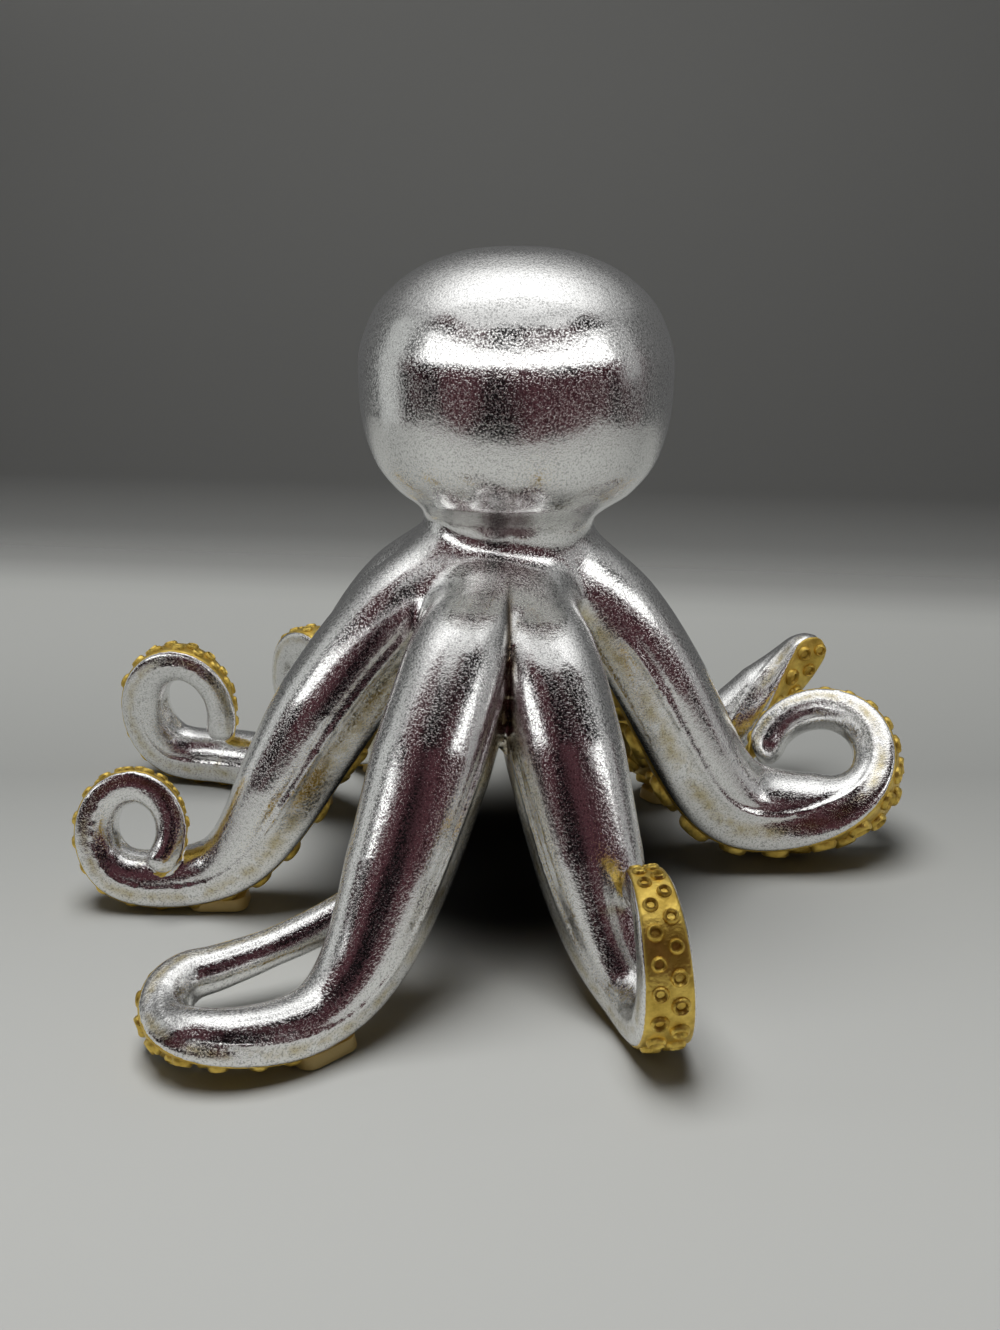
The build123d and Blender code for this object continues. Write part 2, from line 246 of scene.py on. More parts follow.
def running(arm, start, arrival):
    steps = max(1, round(FLOOR_RUN * arm["run"] / RUN_STEP))
    roll = arm.get("roll", 0)
    veer = (arm["heading"] - arrival + 180) % 360 - 180
    places = []
    point = start
    for step in range(1, steps + 1):
        done = step / steps
        point = point + planar(arrival + veer * (step - 0.5) / steps) * (FLOOR_RUN * arm["run"] / steps)
        height = sole_height(arm) + SOLE_CREST * FALL[-1][1] * (1 - done)
        height += ARM_WIDTH * arm["foot"] * 0.45 * abs(sin(radians(roll * done)))
        back = leaning(planar(arm["heading"]), roll * done)
        places.append(Place(Vector((point.x, point.y, height)), back))
    return places


def curling(arm, start):
    ahead = planar(arm["heading"])
    lean, roll = arm.get("lean", 0), arm.get("roll", 0)
    inward = leaning(ahead, lean)
    radius = CURL_RADIUS * arm["curl"]
    steps = max(3, round(arm["turn"] / CURL_STEP))
    places = []
    for step in range(1, steps + 1):
        done = step / steps
        angle = radians(arm["turn"] * done)
        keep = 1 - (1 - arm["tight"]) * done**1.5
        point = start + ahead * (arm.get("flat", 1) * radius * keep * sin(angle))
        point = point + inward * (radius * (1 - keep * cos(angle)))
        point = point + UP * (CURL_LIFT * arm.get("lift", 0) * done)
        point = point + inward.cross(ahead) * (arm.get("aside", 0) * done**2)
        facing = leaning(ahead, roll + (lean - roll) * min(1, angle / radians(90)))
        places.append(Place(point, facing * cos(angle) - ahead * sin(angle), arm.get("twist", 0) * done**2))
    return places


def trailing(arm, before, last):
    way = (last.point - before.point).normalized()
    places = []
    for done in (1 / 3, 2 / 3, 1):
        point = last.point + way * (TAIL_LENGTH * arm["tail"] * done) + UP * (TAIL_RISE * done**2)
        places.append(Place(point, last.up, last.twist))
    return places


def lengths_of(places):
    lengths = [0.0]
    for here, there in zip(places, places[1:]):
        lengths.append(lengths[-1] + (there.point - here.point).length)
    return lengths


def route_of(arm, widths):
    places = falling(arm)
    step = places[-1].point - places[-2].point
    places += running(arm, places[-1].point, degrees(atan2(step.x, -step.y)))
    places += curling(arm, places[-1].point)
    if "tail" in arm:
        places += trailing(arm, places[-2], places[-1])
    lengths = lengths_of(places)
    fallen = lengths[len(FALL) - 1]
    fall_widths = ((0, 1), (0.55, widths[0]), (0.8, widths[1]), (1, widths[2]))
    end_widths = tuple(zip((0, 0.25, 0.5, 0.75, 1), widths[2:]))
    for index, place in enumerate(places):
        before = places[max(0, index - 1)].point
        after = places[min(len(places) - 1, index + 1)].point
        place.way = (after - before).normalized()
        up = (place.up - place.way * place.up.dot(place.way)).normalized()
        place.up = up * cos(radians(place.twist)) + place.way.cross(up) * sin(radians(place.twist))
        if lengths[index] <= fallen:
            share = between(lengths[index] / fallen, fall_widths)
        else:
            beyond = (lengths[index] - fallen) / (lengths[-1] - fallen)
            share = between(beyond, end_widths)
        place.width = ARM_WIDTH * share
    return places


def place_at(route, lengths, length):
    """The place at a distance along a route, on a smooth curve through its neighbours."""
    index = sum(1 for reached in lengths[1:-1] if reached <= length)
    here, there = route[index], route[index + 1]
    step = lengths[index + 1] - lengths[index]
    done = (length - lengths[index]) / step
    rise = done * done * (3 - 2 * done)
    point = here.point * (1 - rise) + there.point * rise
    point = point + here.way * (step * done * (1 - done) ** 2) + there.way * (step * done**2 * (done - 1))
    way = (here.way * (1 - done) + there.way * done).normalized()
    up = here.up * (1 - done) + there.up * done
    up = (up - way * up.dot(way)).normalized()
    return Place(point, up, way=way, width=here.width * (1 - done) + there.width * done)


def eased(places, step, middle, reach, rounds):
    """Rounds off the bend where an arm lands, as the real casting flows into its curl."""
    points = np.array([tuple(place.point) for place in places])
    backs = np.array([tuple(place.up) for place in places])
    weight = np.exp(-(((np.arange(len(places)) * step - middle) / reach) ** 2))[1:-1, None]
    for _ in range(rounds):
        for rows in (points, backs):
            mean = (rows[:-2] + rows[2:]) / 4 + rows[1:-1] / 2
            rows[1:-1] += (mean - rows[1:-1]) * weight
    last = len(places) - 1
    for index, place in enumerate(places):
        place.point = Vector(points[index])
        place.way = Vector(points[min(last, index + 1)] - points[max(0, index - 1)]).normalized()
        up = Vector(backs[index])
        place.up = (up - place.way * up.dot(place.way)).normalized()
    return places


class Run:
    """An arm's route in fine steps."""

    def __init__(self, name):
        route = route_of(ARMS[name], SKIN_WIDTHS[name])
        lengths = lengths_of(route)
        count = round(lengths[-1] / 1.2)
        self.step = lengths[-1] / count
        places = [place_at(route, lengths, self.step * k) for k in range(count + 1)]
        landing = lengths[len(FALL) - 1]
        self.places = eased(places, self.step, landing - 5, *ARMS[name].get("ease", EASE))
        for place in self.places:
            place.point.z -= SKIN_DROP * max(0, 1 - place.point.z / DROP_HEIGHT)
        self.landing = landing
        self.start = round(lengths[BAND_START] / self.step)

    def at(self, length):
        return self.places[min(len(self.places) - 1, round(length / self.step))]


RUNS = {name: Run(name) for name in ARMS}


# Hands

def deselect():
    if bpy.context.object and bpy.context.object.mode != "OBJECT":
        bpy.ops.object.mode_set(mode="OBJECT")
    for obj in bpy.context.selected_objects:
        obj.select_set(False)


def hold(*objs):
    """Makes these the only selected objects, the first one active."""
    deselect()
    for obj in objs:
        obj.select_set(True)
    bpy.context.view_layer.objects.active = objs[0]


def joined(name, objs):
    hold(*objs)
    bpy.ops.object.join()
    obj = bpy.context.object
    obj.name = name
    return obj


def rows_of(items, key):
    """One row of three numbers for each item."""
    rows = np.empty(len(items) * 3)
    items.foreach_get(key, rows)
    return rows.reshape(-1, 3)


def read_points(mesh):
    return rows_of(mesh.vertices, "co")


def write_points(mesh, points):
    mesh.vertices.foreach_set("co", np.ascontiguousarray(points, dtype=np.float64).ravel())
    mesh.update()


def swept(name, places, outlines):
    """A grid rolled along the places into a closed tube, one outline of side and height to each."""
    deselect()
    columns = len(outlines[0])
    bpy.ops.mesh.primitive_grid_add(x_subdivisions=columns, y_subdivisions=len(places) - 1, size=1)
    obj = bpy.context.object
    obj.name = name
    points = []
    for place, outline in zip(places, outlines):
        side = place.up.cross(place.way)
        ring = [(place.point + side * x + place.up * y + AXIS) * MM for x, y in outline]
        points += ring + ring[:1]
    write_points(obj.data, np.array([tuple(p) for p in points]))
    bpy.ops.object.mode_set(mode="EDIT")
    bpy.ops.mesh.select_all(action="SELECT")
    bpy.ops.mesh.remove_doubles(threshold=1e-7)
    bpy.ops.mesh.select_all(action="DESELECT")
    bpy.ops.mesh.select_non_manifold()
    bpy.ops.mesh.fill_holes(sides=0)
    bpy.ops.mesh.select_all(action="SELECT")
    bpy.ops.mesh.normals_make_consistent(inside=False)
    bpy.ops.object.mode_set(mode="OBJECT")
    return obj


def spun(name, profile, centre, segments):
    """A lathe-turned form from its half outline of radius and height."""
    deselect()
    bpy.ops.mesh.primitive_circle_add(vertices=3, radius=1)
    obj = bpy.context.object
    obj.name = name
    bm = bmesh.new()
    verts = [bm.verts.new((centre.x + r, centre.y, centre.z + z)) for r, z in profile]
    for a, b in zip(verts, verts[1:]):
        bm.edges.new((a, b))
    line = bm.verts[:] + bm.edges[:]
    bmesh.ops.spin(bm, geom=line, cent=centre, axis=(0, 0, 1), angle=2 * pi, steps=segments)
    bmesh.ops.remove_doubles(bm, verts=bm.verts[:], dist=1e-7)
    bmesh.ops.recalc_face_normals(bm, faces=bm.faces[:])
    bm.to_mesh(obj.data)
    bm.free()
    return obj


def kept_in_box(obj):
    """Presses what stands proud of the solids' box flat, as a sole is by the table."""
    low, high = CAD_BOX
    points = read_points(obj.data)
    write_points(obj.data, np.clip(points, np.array(low), np.array(high)))


# Shader helpers, which take and give sockets

def new_material(name):
    material = bpy.data.materials.new(name)
    material.use_nodes = True
    material.node_tree.nodes.clear()
    return material, material.node_tree


def fed(tree, socket, value):
    """Links another node's output to the socket, or sets a number or a colour on it."""
    if isinstance(value, bpy.types.NodeSocket):
        tree.links.new(value, socket)
    else:
        socket.default_value = value if isinstance(value, float) else (*value, 1)


def add_node(tree, kind, **values):
    """Adds a node, each value on its socket of that name or else on the node itself."""
    node = tree.nodes.new(kind)
    for key, value in values.items():
        if key in node.inputs.keys():
            fed(tree, node.inputs[key], value)
        else:
            setattr(node, key, value)
    return node


def ramp(tree, factor, *stops):
    """Colours or greys along a factor."""
    node = add_node(tree, "ShaderNodeValToRGB", Fac=factor)
    elements = node.color_ramp.elements
    while len(elements) < len(stops):
        elements.new(0.5)
    for element, (position, tone) in zip(elements, stops):
        element.position = position
        element.color = (tone, tone, tone, 1) if isinstance(tone, float) else (*tone, 1)
    return node.outputs["Color"]


def mixed(tree, factor, first, second, blend="MIX"):
    node = add_node(tree, "ShaderNodeMix", data_type="RGBA", blend_type=blend)
    for index, value in ((0, factor), (6, first), (7, second)):
        fed(tree, node.inputs[index], value)
    return node.outputs[2]


def reckoned(tree, operation, *values):
    node = add_node(tree, "ShaderNodeMath", operation=operation)
    for socket, value in zip(node.inputs, values):
        fed(tree, socket, value)
    return node.outputs["Value"]


def mapped(tree, value, low, high, curve="SMOOTHSTEP"):
    """Runs from 0 to 1 as the value goes from low to high."""
    node = add_node(tree, "ShaderNodeMapRange", interpolation_type=curve, Value=value)
    node.inputs["From Min"].default_value = low
    node.inputs["From Max"].default_value = high
    return node.outputs["Result"]


def window(tree, value, low, high, soft):
    """A soft-edged mask that is 1 between two values."""
    rising = mapped(tree, value, low - soft, low + soft)
    return reckoned(tree, "MULTIPLY", rising, mapped(tree, value, high + soft, high - soft))


def noises(tree, *recipes):
    """One noise on the piece's own coordinates to each recipe."""
    coords = add_node(tree, "ShaderNodeTexCoord").outputs["Object"]
    found = []
    for scale, detail, rough, distortion in recipes:
        noise = add_node(
            tree, "ShaderNodeTexNoise", Vector=coords, Scale=scale, Detail=detail, Roughness=rough,
            Distortion=distortion)
        found.append(noise.outputs["Fac"])
    return found


def wear_and_shade_of(tree):
    """The parts of the wear and shade attribute: red is rubbed, green is painted shade."""
    wear_and_shade = add_node(tree, "ShaderNodeAttribute", attribute_name="wear_and_shade")
    return add_node(tree, "ShaderNodeSeparateColor", Color=wear_and_shade.outputs["Color"]).outputs


def bumped(tree, height, depth, **below):
    node = add_node(tree, "ShaderNodeBump", Height=height, Strength=1.0, Distance=depth, **below)
    return node.outputs["Normal"]


def closed(tree, shader):
    add_node(tree, "ShaderNodeOutputMaterial", Surface=shader)


def principled(tree, colour, rough, **others):
    """A surface, a metal where the others say so."""
    shader = add_node(tree, "ShaderNodeBsdfPrincipled", Roughness=rough, **others)
    fed(tree, shader.inputs["Base Color"], colour)
    return shader.outputs["BSDF"]


def silver_leaf(look):
    """Leaf laid over a grained casting: mirror bright, finely crinkled, rubbed to a warm ground, with
    painted shade in the hollows.
    """
    material, tree = new_material("silver_leaf")
    wear_and_shade = wear_and_shade_of(tree)
    grain, crinkle, patches = noises(tree, LEAF_GRAIN, LEAF_CRINKLE, LEAF_PATCHES)
    rub = reckoned(tree, "MULTIPLY", wear_and_shade["Red"], ramp(tree, patches, (0.38, 0.0), (0.62, 1.0)))
    # Painted shade: the hollows and the groove's line are darkened towards the hollow shade colour
    tone_with_painted_shade = mixed(tree, wear_and_shade["Green"], mixed(tree, rub, look.silver, look.ground), look.hollow_shade)
    tone = mixed(tree, 1.0, tone_with_painted_shade, ramp(tree, grain, (0.37, 0.55), (0.49, 1.0)), blend="MULTIPLY")
    rough = ramp(tree, patches, (0.30, 0.12), (0.70, 0.19))
    pits = bumped(tree, ramp(tree, grain, (0.52, 0.0), (0.74, 1.0)), LEAF_PIT)
    folds = bumped(tree, crinkle, LEAF_FOLD, Normal=pits)
    closed(tree, principled(tree, tone, rough, Metallic=1.0, Normal=folds))
    return material


def gilding(look):
    """Gold leaf on the soles, with painted shade darkening the hollows."""
    material, tree = new_material("gilding")
    grain, patches = noises(tree, GOLD_GRAIN, GOLD_PATCHES)
    gold = mixed(tree, ramp(tree, patches, (0.38, 0.05), (0.66, 0.95)), look.gold, look.old_gold)
    # Painted shade: the sucker dishes and feet and the pads are darkened towards the hollow shade colour
    tone_with_painted_shade = mixed(tree, wear_and_shade_of(tree)["Green"], gold, look.hollow_shade)
    rough = ramp(tree, patches, (0.30, 0.34), (0.70, 0.52))
    pits = bumped(tree, grain, GOLD_PIT)
    closed(tree, principled(tree, tone_with_painted_shade, rough, Metallic=1.0, Normal=pits))
    return material


def drawn_steel():
    material, tree = new_material("drawn_steel")
    grain, = noises(tree, STEEL_GRAIN)
    tone = ramp(tree, grain, (0.3, (0.48, 0.48, 0.50)), (0.7, (0.60, 0.60, 0.61)))
    rough = ramp(tree, grain, (0.3, 0.30), (0.7, 0.45))
    closed(tree, principled(tree, tone, rough, Metallic=1.0))
    return material


def dress(obj, material):
    obj.data.materials.clear()
    obj.data.materials.append(material)


def write_wear_and_shade(mesh, red, green):
    """Keeps the rubbed share and the painted shade share of each point as a colour attribute."""
    layer = mesh.color_attributes.new("wear_and_shade", "FLOAT_COLOR", "POINT")
    colours = np.zeros((len(mesh.vertices), 4))
    colours[:, 0], colours[:, 1], colours[:, 3] = red, green, 1
    layer.data.foreach_set("color", colours.ravel())


# Silver casting

def arm_outline(width, seam):
    """A flat seat, upright flanks and a rounded back, with a mould line where flank and back meet."""
    half = width / 2
    flank = 0.36 * width
    points = [(x * width, y * width) for x, y in SEAT]
    points += [(half, 0.28 * width), (half, flank)]
    points += [(half + seam * 0.9, flank + 0.035 * width), (half - 0.004 * width, flank + 0.07 * width)]
    points += [(half - 0.012 * width - seam * 0.6, flank + 0.10 * width)]
    for step in range(21):
        angle = radians(15 + 75 * step / 20)
        points.append((half * cos(angle) ** 0.93, flank + half * sin(angle) ** 0.97))
    return points + [(-x, y) for x, y in reversed(points[:-1])]


def arm_body(name, seam):
    places, step = RUNS[name].places, RUNS[name].step
    end = places[-1].width * 0.55
    low_root = LOW_ROOT if name.startswith("front") else 0
    outlines = []
    for index, place in enumerate(places):
        left = (len(places) - 1 - index) * step
        outline = arm_outline(place.width, seam * min(1, place.width / 20))
        flatter = 1 - low_root * (1 - float(smooth_step(index * step, *LOW_ROOT_RUN)))
        outline = [(x, y * flatter) for x, y in outline]
        if left < end:
            keep = max(0.06, sqrt(max(0, 1 - (1 - left / end) ** 2)))
            middle = place.width * 0.48
            outline = [(x * keep, middle + (y - middle) * keep) for x, y in outline]
        outlines.append(outline)
    return swept("body_" + name, places, outlines)


def mantle_body():
    """The head: a lathe-turned form with a flat crown, a little squarer than a ball."""
    centre = Vector((AXIS.x + MANTLE_SHIFT, AXIS.y, NECK_TOP)) * MM
    knots = MANTLE_OUTLINE
    last = len(knots) - 1
    bends = []
    for i in range(last + 1):
        before, after = knots[max(i - 1, 0)], knots[min(i + 1, last)]
        bends.append((after[0] - before[0], after[1] - before[1]))
    bends[0] = (0.42, 0.0)
    bends[last] = (-0.20, -0.10)
    profile = []
    for i in range(last):
        terms = knots[i], bends[i], knots[i + 1], bends[i + 1]
        for k in range(MANTLE_STEPS):
            t = k / MANTLE_STEPS
            shares = (1 + 2 * t) * (1 - t) ** 2, t * (1 - t) ** 2, t * t * (3 - 2 * t), t * t * (t - 1)
            shares = [a * b for a, b in zip(shares, (1, MANTLE_FULLNESS, 1, MANTLE_FULLNESS))]
            r, z = (sum(a * term[q] for a, term in zip(shares, terms)) for q in (0, 1))
            profile.append((r * MANTLE_RADIUS * MM, z * MANTLE_HEIGHT * MM))
    profile.append((knots[last][0] * MANTLE_RADIUS * MM, 0))
    profile.append((0.40 * MANTLE_RADIUS * MM, -MANTLE_SUNK * MM))
    profile.append((0, -MANTLE_SUNK * MM))
    return spun("body_mantle", profile, centre, 128)


def neck_body():
    """The waisted neck, carried down between the arms' roots."""
    profile = [(0, 2), (NECK_RADIUS + 0.6, 2)]
    profile += [(NECK_RADIUS - sin(pi * k / 8), -14 * k / 8) for k in range(9)]
    profile += [(NECK_RADIUS - 1, -22), (12, -30), (0, -30)]
    return spun("body_neck", [(r * MM, z * MM) for r, z in profile], (AXIS + UP * NECK_TOP) * MM, 96)


def neighbour_mean(points, edges, counts, times):
    for _ in range(times):
        total = np.zeros_like(points)
        for axis in range(3):
            total[:, axis] = np.bincount(edges[:, 0], points[edges[:, 1], axis], len(points))
            total[:, axis] += np.bincount(edges[:, 1], points[edges[:, 0], axis], len(points))
        points = points * 0.5 + total / counts[:, None] * 0.5
    return points


def edge_table(mesh):
    edges = np.empty(len(mesh.edges) * 2, dtype=np.int64)
    mesh.edges.foreach_get("vertices", edges)
    edges = edges.reshape(-1, 2)
    counts = np.bincount(edges.ravel(), minlength=len(mesh.vertices)).astype(float)
    return edges, np.maximum(counts, 1)


def smooth_step(value, low, high):
    t = np.clip((value - low) / (high - low), 0, 1)
    return t * t * (3 - 2 * t)


def around_neck(points):
    """Each point's radius and azimuth about the neck's axis, in millimetres and degrees."""
    plan = points[:, :2] / MM - np.array([AXIS.x, AXIS.y])
    return np.hypot(plan[:, 0], plan[:, 1]), np.degrees(np.arctan2(plan[:, 0], -plan[:, 1])) % 360


def soften_neck(mesh, rounds):
    """Runs the arms' roots and the neck into each other, as modelled in wax."""
    points = read_points(mesh)
    edges, counts = edge_table(mesh)
    radius, _ = around_neck(points)
    height = points[:, 2] / MM
    weight = (1 - smooth_step(radius, 30, 46)) * smooth_step(height, 78, 92)
    weight *= 1 - SEAM_KEPT * np.exp(-(((height - NECK_TOP) / SEAM_REACH) ** 2))
    weight *= 1 - smooth_step(height, 122, 126)
    chosen = weight > 0.001
    near_edges = edges[chosen[edges].any(1)]
    near_counts = np.maximum(np.bincount(near_edges.ravel(), minlength=len(points)), 1)
    for _ in range(rounds):
        moved = neighbour_mean(points, near_edges, near_counts, 1)
        points[chosen] += (moved[chosen] - points[chosen]) * weight[chosen, None]
    write_points(mesh, neighbour_mean(points, edges, counts, 3))


def groove_share(points):
    """Each point's distance across the groove between the front arms, and its share in it."""
    across = points[:, 0] / MM - AXIS.x
    front = smooth_step(AXIS.y - points[:, 1] / MM, 18, 26)
    height = points[:, 2] / MM
    return across, front * smooth_step(height, 36, 44) * (1 - smooth_step(height, 100, 108))


def press_groove(mesh):
    """Draws a fine groove between the two front arms."""
    points = read_points(mesh)
    across, share = groove_share(points)
    points[:, 1] += GROOVE_DEPTH * MM * np.exp(-((across / GROOVE_WIDTH) ** 2)) * share
    write_points(mesh, points)


def nearest_arms(points):
    """For each point the nearest arm, and where it lies across that arm in shares of its width."""
    names = list(ARMS)
    samples, owners = [], []
    for number, name in enumerate(names):
        for place in RUNS[name].places[::2]:
            samples.append(place)
            owners.append(number)
    tree = KDTree(len(samples))
    for index, place in enumerate(samples):
        tree.insert((place.point + place.up * (0.45 * place.width) + AXIS) * MM, index)
    tree.balance()
    found = np.array([tree.find(point)[1] for point in points])
    origin = np.array([tuple((p.point + AXIS) * MM) for p in samples])[found]
    side = np.array([tuple(p.up.cross(p.way)) for p in samples])[found]
    back = np.array([tuple(p.up) for p in samples])[found]
    width = np.array([p.width * MM for p in samples])[found]
    offset = points - origin
    across = (offset * side).sum(1) / width
    above = (offset * back).sum(1) / width
    return np.array(owners)[found], across, above


def rub_and_shade_skin(mesh):
    """Marks where the leaf is rubbed warm, and where painted shade darkens the hollows and the groove's
    line.
    """
    points = read_points(mesh)
    edges, counts = edge_table(mesh)
    normals = rows_of(mesh.vertices, "normal")
    wide = neighbour_mean(points, edges, counts, 14)
    hollow = ((wide - points) * normals).sum(1) / MM
    # Painted shade: how far each hollow is darkened
    green = smooth_step(hollow, 0.22, 1.1) * 0.85
    _, across, above = nearest_arms(points)
    strip = np.exp(-(((above - 0.24) / 0.09) ** 2)) * smooth_step(np.abs(across), 0.30, 0.44)
    below = points[:, 2] / MM < 106
    red = strip * below * 0.75 + smooth_step(hollow, 0.05, 0.4) * 0.5
    off, share = groove_share(points)
    # Painted shade along the middle of the groove between the front arms
    line = np.exp(-((off / GROOVE_LINE) ** 2)) * share
    gilt = np.exp(-((off / GROOVE_GILT) ** 2)) * share * (1 - smooth_step(points[:, 2] / MM, 62, 84))
    write_wear_and_shade(mesh, np.clip(np.maximum(red, gilt), 0, 1), np.maximum(green, line * 0.9))


def cut_lines(mesh):
    """Cuts edges into the skin along the planes where the castings meet."""
    bm = bmesh.new()
    bm.from_mesh(mesh)
    axis = AXIS * MM

    def cut(faces, point, normal):
        geom = set(faces)
        for face in faces:
            geom.update(face.edges)
            geom.update(face.verts)
        bmesh.ops.bisect_plane(bm, geom=list(geom), plane_co=point, plane_no=normal, dist=1e-7)

    for height in (NECK_TOP, NECK_FOOT):
        level = height * MM
        faces = [f for f in bm.faces if abs(f.calc_center_median().z - level) < CUT_REACH]
        cut(faces, (0, 0, level), (0, 0, 1))
    for first, _ in SECTORS.values():
        way = planar(first)
        normal = Vector((way.y, -way.x, 0))
        faces = []
        for face in bm.faces:
            offset = face.calc_center_median() - axis
            ahead = offset.dot(way) > -0.5 * MM
            close = offset.z < (NECK_FOOT + 0.5) * MM and abs(offset.dot(normal)) < CUT_REACH
            if ahead and close and offset.xy.length < (TRIM_RADIUS + 2) * MM:
                faces.append(face)
        cut(faces, axis, normal)
    bm.to_mesh(mesh)
    bm.free()


def label_faces(mesh):
    """The piece that each face belongs to: 0 head, 1 neck, from 2 on the arms."""
    centres = rows_of(mesh.polygons, "center")
    radius, azimuth = around_neck(centres)
    owners, _, _ = nearest_arms(centres)
    labels = owners + 2
    names = list(ARMS)
    inner = radius < TRIM_RADIUS
    for name, (first, second) in SECTORS.items():
        labels[inner & (azimuth >= first) & (azimuth < second)] = names.index(name) + 2
    labels[(centres[:, 2] > NECK_FOOT * MM) & inner] = 1
    labels[centres[:, 2] > NECK_TOP * MM] = 0
    return labels


def separate_pieces(skin, labels):
    """Takes the marked faces out one piece at a time and closes each."""
    names = ["silver_mantle", "silver_neck"] + ["silver_arm_" + name for name in ARMS]
    layer = skin.data.attributes.new("piece", "INT", "FACE")
    layer.data.foreach_set("value", labels.astype(np.int32))
    pieces = {}
    for number, name in enumerate(names):
        deselect()
        copy = skin.copy()
        copy.data = skin.data.copy()
        bpy.context.collection.objects.link(copy)
        copy.name = name
        bm = bmesh.new()
        bm.from_mesh(copy.data)
        marks = bm.faces.layers.int["piece"]
        bmesh.ops.delete(bm, geom=[f for f in bm.faces if f[marks] != number], context="FACES")
        bmesh.ops.delete(bm, geom=[v for v in bm.verts if not v.link_faces], context="VERTS")
        drop_crumbs(bm)
        rim = [e for e in bm.edges if e.is_boundary]
        for edge in rim:
            edge.smooth = False
        bmesh.ops.holes_fill(bm, edges=rim, sides=0)
        bmesh.ops.triangulate(bm, faces=[f for f in bm.faces if len(f.verts) > 4])
        for face in bm.faces:
            face.smooth = True
        bm.faces.layers.int.remove(bm.faces.layers.int["piece"])
        bm.to_mesh(copy.data)
        bm.free()
        pieces[name] = copy
    bpy.data.objects.remove(skin)
    return pieces


def drop_crumbs(bm):
    """Removes all but the largest connected part."""
    seen, groups = set(), []
    for start in bm.faces:
        if start in seen:
            continue
        seen.add(start)
        group = [start]
        for face in group:
            near = {other for edge in face.edges for other in edge.link_faces} - seen
            seen |= near
            group.extend(near)
        groups.append(group)
    groups.sort(key=len)
    crumbs = [face for group in groups[:-1] for face in group]
    if crumbs:
        bmesh.ops.delete(bm, geom=crumbs, context="FACES")
        bmesh.ops.delete(bm, geom=[v for v in bm.verts if not v.link_faces], context="VERTS")


class OCTO_OT_silver_body(bpy.types.Operator):
    """Models the head, neck and arms as one flowing casting and parts it at its joints"""

    bl_idname = "octo.silver_body"
    bl_label = "Silver body"

    def execute(self, context):
        form, look = context.scene.octo_form, context.scene.octo_look
        bodies = [mantle_body(), neck_body()]
        bodies += [arm_body(name, form.seam_height / MM) for name in ARMS]
        skin = joined("silver_skin", bodies)
        voxel = form.skin_grain * 1
        remesh = skin.modifiers.new("Remesh", "REMESH")
        remesh.mode, remesh.voxel_size = "VOXEL", voxel
        bpy.ops.object.modifier_apply(modifier=remesh.name)
        soften_neck(skin.data, round(form.neck_rounds * (NECK_GRAIN / voxel) ** 2))
        press_groove(skin.data)
        cut_lines(skin.data)
        rub_and_shade_skin(skin.data)
        dress(skin, silver_leaf(look))
        pieces = separate_pieces(skin, label_faces(skin.data))
        for name, piece in pieces.items():
            kept_in_box(piece)
            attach(piece, "root")
        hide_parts("mantle")
        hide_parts("crown_core")
        for name in ARMS:
            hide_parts("arm_" + name)
        return {"FINISHED"}


# Gilded soles

def sole_outline(width, keep):
    """A strip with rounded edges and a slightly crowned face."""
    face = -0.018 * width
    half = 0.425 * width * keep
    right = [(0, face), (half * 0.5, face * 0.9), (half * 0.86, face * 0.5), (half * 0.96, 0.006 * width)]
    right += [(half, 0.03 * width), (half * 0.97, 0.08 * width)]
    left = [(-x, y) for x, y in reversed(right[1:])]
    return right + left


def sole_strip(name):
    run = RUNS[name]
    places, step = run.places[run.start:], run.step
    end = places[-1].width * 0.5
    outlines = []
    for index, place in enumerate(places):
        left = (len(places) - 1 - index) * step
        keep = 1.0
        if left < end:
            keep = max(0.2, sqrt(max(0, 1 - (1 - left / end) ** 2)))
        outlines.append(sole_outline(place.width, keep))
    return swept("strip_" + name, places, outlines)


def ring_sucker():
    """One sucker of width 1: a rolled rim round a dished middle with a pit, with painted shade in the dish
    and at its foot.
    """
    profile = [(0.52, -0.20), (0.50, 0.08), (0.45, 0.22), (0.37, 0.28), (0.28, 0.20)]
    profile += [(0.22, 0.02), (0.12, -0.04), (0.06, -0.12), (0, -0.14)]
    obj = spun("sucker", profile, Vector((0, 0, 0)), 14)
    points = read_points(obj.data)
    radius = np.hypot(points[:, 0], points[:, 1])
    # Painted shade: the dished middle and the foot where the sucker meets the strip are darkened
    inside = (1 - smooth_step(radius, 0.12, 0.33)) * 0.9
    foot = smooth_step(-points[:, 2], -0.05, 0.15) * (radius > 0.45) * 0.6
    write_wear_and_shade(obj.data, 0 * radius, np.maximum(inside, foot))
    return obj


def sucker_places(name, form):
    """Two staggered rows, closer and smaller towards the tip."""
    run = RUNS[name]
    length = (len(run.places) - 1) * run.step - 0.30 * run.places[-1].width
    row = 1
    found = []
    while length > run.start * run.step + 6:
        place = run.at(length)
        found.append((place, row))
        length -= form.sucker_pitch * place.width
        row = -row
    return found


